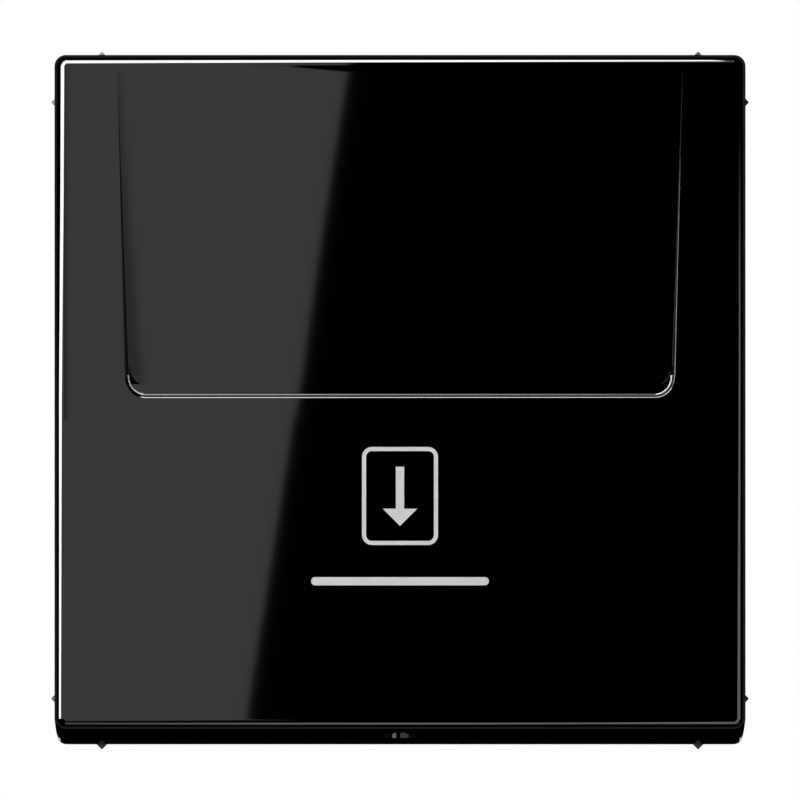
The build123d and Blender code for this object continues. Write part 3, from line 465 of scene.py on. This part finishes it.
def rounded_cover():
    """A copy of the cover whose recess has rounds along its edges, tapering off up the sides."""
    cover = merged_copy("front_cover", "cover_shell", join_flats=True)
    change_net(cover, trim_and_weigh)
    rounds = cover.modifiers.new("rounds", "BEVEL")
    rounds.limit_method = "WEIGHT"
    rounds.width = EDGE_ROUND * MM
    rounds.segments = EDGE_STEPS
    rounds.use_clamp_overlap = False
    bpy.ops.object.modifier_apply(modifier="rounds")

    change_net(cover, taper_rounds)
    bpy.ops.object.shade_smooth_by_angle(angle=math.radians(SMOOTH_ANGLE))
    change_net(cover, sharpen_creases)
    weights = cover.modifiers.new("weights", "WEIGHTED_NORMAL")
    weights.mode = "FACE_AREA"
    weights.weight = NORMAL_WEIGHT
    weights.keep_sharp = True
    bpy.ops.object.modifier_apply(modifier="weights")
    cover.data.materials.clear()
    cover.data.materials.append(COVER_GLOSS)
    return cover


cover_shell = rounded_cover()
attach(cover_shell, "base")
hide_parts("front_cover")


def shortening_spring():
    """A merged, smoothly shaded copy of the return spring, attached to the base in place of the
    original.
    """
    spring = merged_copy("return_spring", "return_spring_coil")
    bpy.ops.object.shade_smooth_by_angle(angle=math.radians(SMOOTH_ANGLE))
    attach(spring, "base")
    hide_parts("return_spring")
    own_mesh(spring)


shortening_spring()

# Printed marks: a card outline, an arrow that points into the slot and a bar below
MARK_BACK = 18.698
MARK_THICKNESS = 0.014
CARD_MARK_HALF = 3.85
CARD_MARK_TOP = -4.7
CARD_MARK_BOTTOM = -14.63
CARD_MARK_STROKE = 0.42
CARD_MARK_ROUND = 1.0
ARROW_TOP = -6.7
ARROW_TIP = -12.7
ARROW_STEM_HALF = 0.42
ARROW_HEAD_HALF = 1.75
ARROW_HEAD_RISE = 1.75
BAR_HALF = 9.0
BAR_LEVEL = -18.3
BAR_THICK_HALF = 0.42
BAR_ROUND = 0.4
MARK_ROUND_STEPS = 6


def printed_plate(name, half, bottom, top, corner):
    """A flat rounded plate on the face, between two levels, ready to be thickened."""
    deselect_all()
    bpy.ops.mesh.primitive_plane_add(size=2 * MM, rotation=(math.radians(90), 0, 0))
    plate = bpy.context.object
    plate.name = name
    bpy.ops.object.transform_apply(location=False, rotation=True, scale=True)
    bpy.ops.object.mode_set(mode="EDIT")
    bpy.ops.mesh.select_all(action="SELECT")
    bpy.ops.transform.resize(value=(half, 1.0, (top - bottom) / 2), center_override=(0, 0, 0))
    bpy.ops.transform.translate(value=(0, -MARK_BACK * MM, (top + bottom) / 2 * MM))
    if corner:
        bpy.ops.mesh.bevel(offset=corner * MM, segments=MARK_ROUND_STEPS, affect="VERTICES")
    return plate


def thicken(mark):
    """Turns the flat mark in edit mode into a closed thin print on the face."""
    bpy.ops.mesh.select_all(action="SELECT")
    bpy.ops.mesh.normals_make_consistent(inside=False)
    bpy.ops.object.mode_set(mode="OBJECT")
    layer = mark.modifiers.new("layer", "SOLIDIFY")
    layer.thickness = MARK_THICKNESS * MM
    layer.offset = 0.0
    bpy.ops.object.modifier_apply(modifier="layer")
    mark.data.materials.append(PRINT_INK)
    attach(mark, "base")


def printed_card():
    """The outline of a card with round corners."""
    mark = printed_plate(
        "printed_card", CARD_MARK_HALF, CARD_MARK_BOTTOM, CARD_MARK_TOP, CARD_MARK_ROUND
    )
    bpy.ops.mesh.select_all(action="SELECT")
    bpy.ops.mesh.inset(thickness=CARD_MARK_STROKE * MM)
    bpy.ops.mesh.delete(type="FACE")
    thicken(mark)


def printed_arrow():
    """An arrow with a plain stem and head."""
    head_level = ARROW_TIP + ARROW_HEAD_RISE
    mark = printed_plate("printed_arrow", ARROW_STEM_HALF, head_level, ARROW_TOP, 0.0)
    head = ((-ARROW_HEAD_HALF, head_level), (0.0, ARROW_TIP), (ARROW_HEAD_HALF, head_level))
    net = bmesh.from_edit_mesh(mark.data)
    stem_foot = sorted(net.verts, key=lambda vertex: (vertex.co.z, vertex.co.x))[:2]
    tips = [net.verts.new((across * MM, -MARK_BACK * MM, level * MM)) for across, level in head]
    net.faces.new((stem_foot[0], tips[0], tips[1], tips[2], stem_foot[1]))
    bmesh.update_edit_mesh(mark.data)
    thicken(mark)


def printed_bar():
    """A plain bar with round ends."""
    bottom = BAR_LEVEL - BAR_THICK_HALF
    top = BAR_LEVEL + BAR_THICK_HALF
    thicken(printed_plate("printed_bar", BAR_HALF, bottom, top, BAR_ROUND))


printed_card()
printed_arrow()
printed_bar()

# Studio: light strips, black flags and a half-white card that only reflections see


def hide_from_all_but_gloss(piece):
    """The piece shows in reflections alone."""
    piece.visible_camera = False
    piece.visible_diffuse = False
    piece.visible_transmission = False
    piece.visible_shadow = False


def glow_material(name, strength):
    """A surface that gives off so much light, or none at zero."""
    material = bpy.data.materials.new(name)
    material.use_nodes = True
    nodes = material.node_tree.nodes
    nodes.clear()
    glow = nodes.new("ShaderNodeEmission")
    glow.inputs["Strength"].default_value = strength
    out = nodes.new("ShaderNodeOutputMaterial")
    material.node_tree.links.new(glow.outputs["Emission"], out.inputs["Surface"])
    return material


def fading_glow(name, direction, low_at, high_at, low, high):
    """A glow that goes from low to high along a direction, between two places in millimetres."""
    material = glow_material(name, high)
    nodes = material.node_tree.nodes
    links = material.node_tree.links
    place = nodes.new("ShaderNodeTexCoord")
    along = nodes.new("ShaderNodeVectorMath")
    along.operation = "DOT_PRODUCT"
    along.inputs[1].default_value = direction
    fade = nodes.new("ShaderNodeMapRange")
    fade.interpolation_type = "SMOOTHSTEP"
    fade.inputs["From Min"].default_value = low_at * MM
    fade.inputs["From Max"].default_value = high_at * MM
    fade.inputs["To Min"].default_value = low
    fade.inputs["To Max"].default_value = high
    links.new(place.outputs["Object"], along.inputs[0])
    links.new(along.outputs["Value"], fade.inputs["Value"])
    links.new(fade.outputs["Result"], nodes["Emission"].inputs["Strength"])
    return material


def card(name, corners, material):
    """A flat studio card through its corners, in millimetres."""
    mesh = bpy.data.meshes.new(name)
    mesh.from_pydata([Vector(corner) * MM for corner in corners], [], [range(len(corners))])
    mesh.materials.append(material)
    piece = bpy.data.objects.new(name, mesh)
    bpy.context.collection.objects.link(piece)
    hide_from_all_but_gloss(piece)
    return piece


def facing_card(name, distance, corners, material):
    """A card parallel to the face, so far in front of it, with its corners across and up."""
    front = -FACE_HEIGHT - distance
    return card(name, [(across, front, level) for across, level in corners], material)


KEY_STRENGTH = 27.0
BACK_STRENGTH = 0.15
BLACK = glow_material("flag_black", 0.0)
KEY_GLOW = glow_material("key_strip_glow", KEY_STRENGTH)
BACK_GLOW = glow_material("back_board_glow", BACK_STRENGTH)

STRIP_DISTANCE = 200.0
FLAG_DISTANCE = 230.0
EDGE = COVER_HALF * (1.0 + STRIP_DISTANCE / CAMERA_DISTANCE)

facing_card(
    "key_strip_left",
    STRIP_DISTANCE,
    [
        (-EDGE, EDGE + 57.0),
        (-EDGE, EDGE + 245.0),
        (-EDGE - 165.0, 36.3),
        (-EDGE - 203.0, 22.3),
        (-EDGE - 382.0, 0.0),
        (-EDGE - 370.0, -22.4),
        (-EDGE - 400.0, -41.5),
        (-EDGE - 170.0, -38.0),
        (-EDGE - 141.0, -22.4),
        (-EDGE - 108.0, 0.0),
        (-EDGE - 25.0, 22.3),
        (-EDGE, 36.3),
    ],
    KEY_GLOW,
)
facing_card(
    "key_strip_top",
    STRIP_DISTANCE,
    [
        (-EDGE, EDGE + 57.0),
        (0.0, EDGE + 114.0),
        (22.0, EDGE + 149.0),
        (EDGE - 1.0, EDGE + 181.0),
        (EDGE - 1.0, EDGE + 300.0),
        (28.0, EDGE + 372.0),
        (0.0, EDGE + 319.0),
        (-EDGE, EDGE + 245.0),
    ],
    KEY_GLOW,
)
facing_card(
    "fill_strip_right",
    STRIP_DISTANCE,
    [
        (EDGE + 68.0, -EDGE),
        (EDGE + 276.0, -EDGE),
        (EDGE + 304.0, 5.0),
        (EDGE + 304.0, 46.0),
        (EDGE + 151.0, 46.0),
        (EDGE + 151.0, 5.0),
        (EDGE + 85.0, -22.4),
    ],
    fading_glow("fill_right_glow", (0, 0, 1), low_at=34.0, high_at=4.0, low=0.0, high=2.6),
)
facing_card(
    "fill_strip_bottom",
    STRIP_DISTANCE,
    [
        (-EDGE - 4.0, -EDGE - 162.0),
        (-16.5, -EDGE - 156.0),
        (11.1, -EDGE - 152.0),
        (22.3, -EDGE - 132.0),
        (35.7, -EDGE - 97.5),
        (EDGE + 68.0, -EDGE),
        (EDGE + 276.0, -EDGE),
        (35.7, -EDGE - 232.0),
        (22.3, -EDGE - 261.0),
        (11.1, -EDGE - 315.0),
        (-16.5, -EDGE - 367.0),
        (-EDGE - 4.0, -EDGE - 348.0),
    ],
    fading_glow("fill_bottom_glow", (1, 0, 0), low_at=-90.0, high_at=11.1, low=0.0, high=2.85),
)

# Black card behind the camera: its left edge runs aslant through the face's reflection
HALF_CARD_DISTANCE = 2400.0
HALF_CARD_RIGHT = 1200.0
HALF_CARD_TOP = 1300.0
HALF_CARD_BOTTOM = -1440.0
HALF_CARD_SIDE_NEAR = -620.0
facing_card(
    "half_card",
    HALF_CARD_DISTANCE,
    [
        (-11.7, HALF_CARD_TOP),
        (-11.7, 75.6),
        (-22.9, 2.2),
        (-24.5, -4.6),
        (-27.2, -22.7),
        (-30.6, -45.4),
        (-34.7, -72.0),
        (-11.9, -557.6),
        (-15.0, -577.5),
        (-18.6, -601.3),
        (-23.0, -633.1),
        (-25.0, -650.0),
        (-25.0, HALF_CARD_BOTTOM),
        (HALF_CARD_RIGHT, HALF_CARD_BOTTOM),
        (HALF_CARD_RIGHT, HALF_CARD_TOP),
    ],
    BLACK,
)
card(
    "half_card_side",
    [
        (HALF_CARD_RIGHT, -FACE_HEIGHT - HALF_CARD_DISTANCE, HALF_CARD_BOTTOM),
        (HALF_CARD_RIGHT, HALF_CARD_SIDE_NEAR, HALF_CARD_BOTTOM),
        (HALF_CARD_RIGHT, HALF_CARD_SIDE_NEAR, HALF_CARD_TOP),
        (HALF_CARD_RIGHT, -FACE_HEIGHT - HALF_CARD_DISTANCE, HALF_CARD_TOP),
    ],
    BLACK,
)
facing_card(
    "dim_card",
    HALF_CARD_DISTANCE,
    [(-75.0, -650.0), (-57.0, -650.0), (-57.0, -545.0), (-75.0, -545.0)],
    fading_glow(
        "dim_card_glow", (1.0, 0.0, 0.0719), low_at=-106.0, high_at=-104.0, low=0.55, high=1.0
    ),
)

# Flags that cut the bright world off beside the strips
facing_card(
    "flag_below",
    FLAG_DISTANCE,
    [(-17.0, -63.0), (60.0, -63.0), (60.0, -420.0), (-60.0, -420.0), (-40.0, -138.0)],
    BLACK,
)
facing_card(
    "flag_upper_right",
    FLAG_DISTANCE,
    [(42.0, -60.0), (640.0, -60.0), (640.0, 640.0), (42.0, 640.0)],
    BLACK,
)
facing_card(
    "flag_lower_left",
    FLAG_DISTANCE,
    [(-42.0, -42.0), (-560.0, -42.0), (-560.0, -640.0), (-42.0, -640.0)],
    BLACK,
)

EDGE_ON_ACROSS = -34.0
EDGE_ON_LEVELS = (-2.0, 36.0)


def edge_on_flag(name, near, far):
    """A flag over the face, edge on to the camera, between two distances from the face."""
    low, high = EDGE_ON_LEVELS
    corners = []
    for distance, level in ((near, low), (near, high), (far, high), (far, low)):
        spread = 1.0 + distance / CAMERA_DISTANCE
        corners.append((EDGE_ON_ACROSS * spread, -FACE_HEIGHT - distance, level * spread))
    return card(name, corners, BLACK)


edge_on_flag("flag_near_face", 15.0, 34.5)
edge_on_flag("flag_far_from_face", 77.0, 900.0)

# Hood of black flags close round the cover
HOOD = 95.0
HOOD_BACK = -13.5
card(
    "hood_left",
    [
        (-HOOD, HOOD_BACK, -HOOD),
        (-HOOD, -42.4, -HOOD),
        (-HOOD, -42.4, -34.0),
        (-HOOD, -48.0, 0.0),
        (-HOOD, -76.0, 22.3),
        (-HOOD, -82.5, 34.0),
        (-HOOD, -82.5, HOOD),
        (-HOOD, HOOD_BACK, HOOD),
    ],
    BLACK,
)


def hood_side(name, start, end, front):
    """One side of the hood, from one corner to the next, as deep as its front says."""
    corners = [(start, HOOD_BACK), (start, front), (end, front), (end, HOOD_BACK)]
    card(name, [(across, depth, level) for (across, level), depth in corners], BLACK)


hood_side("hood_right", (HOOD, -HOOD), (HOOD, HOOD), front=-52.8)
hood_side("hood_top", (-HOOD, HOOD), (HOOD, HOOD), front=-57.0)
hood_side("hood_bottom", (-HOOD, -HOOD), (HOOD, -HOOD), front=-50.0)

# Board behind the cover, as a wall would be: black beside the rim and dim further out
BOARD_LEVEL = -4.0
BOARD_HALF = 200.0
BOARD_DARK_HALF = 47.0
BOARD_HOLE_HALF = 35.7


def square_ring(name, outer, inner, material):
    """A flat square ring behind the cover's rim."""
    deselect_all()
    bpy.ops.mesh.primitive_plane_add(
        size=2 * outer * MM, location=(0, BOARD_LEVEL * MM, 0), rotation=(math.radians(90), 0, 0)
    )
    ring = bpy.context.object
    ring.name = name
    bpy.ops.object.transform_apply(location=True, rotation=True, scale=True)
    bpy.ops.object.mode_set(mode="EDIT")
    bpy.ops.mesh.select_all(action="SELECT")
    bpy.ops.mesh.inset(thickness=(outer - inner) * MM)
    bpy.ops.mesh.delete(type="FACE")
    bpy.ops.object.mode_set(mode="OBJECT")
    ring.data.materials.append(material)
    hide_from_all_but_gloss(ring)
    return ring


square_ring("board_dark", BOARD_DARK_HALF, BOARD_HOLE_HALF, BLACK)
square_ring("board_dim", BOARD_HALF, BOARD_DARK_HALF, BACK_GLOW)

# World, floor and soft lamps
SKY_TO_EYE = 1.0
SKY_TO_SURFACES = 0.5
WHITE = (1.0, 1.0, 1.0, 1.0)
world = bpy.data.worlds.new("studio_world")
bpy.context.scene.world = world
world.use_nodes = True
world_nodes = world.node_tree.nodes
world_links = world.node_tree.links
world_nodes.clear()


def larger_of(first, second):
    """The larger of two values."""
    larger = world_nodes.new("ShaderNodeMath")
    larger.operation = "MAXIMUM"
    world_links.new(first, larger.inputs[0])
    world_links.new(second, larger.inputs[1])
    return larger.outputs[0]


def sky(strength):
    """A white sky of a strength."""
    background = world_nodes.new("ShaderNodeBackground")
    background.inputs["Strength"].default_value = strength
    background.inputs["Color"].default_value = WHITE
    return background.outputs[0]


paths = world_nodes.new("ShaderNodeLightPath")
seen_or_mirrored = larger_of(paths.outputs["Is Camera Ray"], paths.outputs["Is Glossy Ray"])
any_sight = larger_of(seen_or_mirrored, paths.outputs["Is Transmission Ray"])
sky_mix = world_nodes.new("ShaderNodeMixShader")
world_links.new(any_sight, sky_mix.inputs["Fac"])
world_links.new(sky(SKY_TO_SURFACES), sky_mix.inputs[1])
world_links.new(sky(SKY_TO_EYE), sky_mix.inputs[2])
world_out = world_nodes.new("ShaderNodeOutputWorld")
world_links.new(sky_mix.outputs[0], world_out.inputs["Surface"])


LAMP_SIZE = 1.2
LAMP_POWER = 27.0


def soft_lamp(name, place):
    """A square area lamp that looks at the object and lights it without a reflection."""
    data = bpy.data.lights.new(name, "AREA")
    data.shape = "SQUARE"
    data.size = LAMP_SIZE
    data.energy = LAMP_POWER
    lamp = bpy.data.objects.new(name, data)
    bpy.context.collection.objects.link(lamp)
    lamp.location = place
    lamp.rotation_euler = Vector(place).to_track_quat("Z", "Y").to_euler()
    lamp.visible_glossy = False
    lamp.visible_transmission = False
    lamp.visible_camera = False
    return lamp


def clear_from_below(material):
    """The material is seen from the side of its normal alone."""
    nodes = material.node_tree.nodes
    links = material.node_tree.links
    side = nodes.new("ShaderNodeNewGeometry")
    clear = nodes.new("ShaderNodeBsdfTransparent")
    mix = nodes.new("ShaderNodeMixShader")
    links.new(side.outputs["Backfacing"], mix.inputs["Fac"])
    links.new(nodes["Principled BSDF"].outputs["BSDF"], mix.inputs[1])
    links.new(clear.outputs["BSDF"], mix.inputs[2])
    links.new(mix.outputs["Shader"], nodes["Material Output"].inputs["Surface"])


soft_lamp("lamp_front", (-1.1, -1.6, 1.3))
soft_lamp("lamp_back", (-0.9, 1.7, 1.2))

FLOOR_LEVEL = -0.9
FLOOR_RADIUS = 2.9
FLOOR_SIDES = 96
deselect_all()
bpy.ops.mesh.primitive_circle_add(
    vertices=FLOOR_SIDES, radius=FLOOR_RADIUS, fill_type="NGON", location=(0, 0, FLOOR_LEVEL)
)
floor = bpy.context.object
floor.name = "studio_floor"
floor_finish = moulded_plastic(
    "floor_pale", (0.8, 0.8, 0.8), 0.6, grain=40.0, relief=0.0002, spread=0.02
)
floor_shader = floor_finish.node_tree.nodes["Principled BSDF"]
floor_shader.inputs["Specular IOR Level"].default_value = 0.0
clear_from_below(floor_finish)
floor.data.materials.append(floor_finish)

# Camera of the photograph
camera_data = bpy.data.cameras.new("camera")
camera_data.sensor_width = SENSOR_WIDTH
camera_data.lens = SENSOR_WIDTH * CAMERA_DISTANCE / (PICTURE_PIXELS / PIXELS_PER_MM)
camera_data.clip_start = CLIP_NEAR
camera_data.clip_end = CLIP_FAR
camera = bpy.data.objects.new("camera", camera_data)
bpy.context.collection.objects.link(camera)
camera.location = (0.0, -(FACE_HEIGHT + CAMERA_DISTANCE) * MM, CAMERA_LEVEL * MM)
camera.rotation_euler = (math.radians(90.0), 0.0, 0.0)
bpy.context.scene.camera = camera

bpy.context.scene.view_settings.view_transform = "Standard"
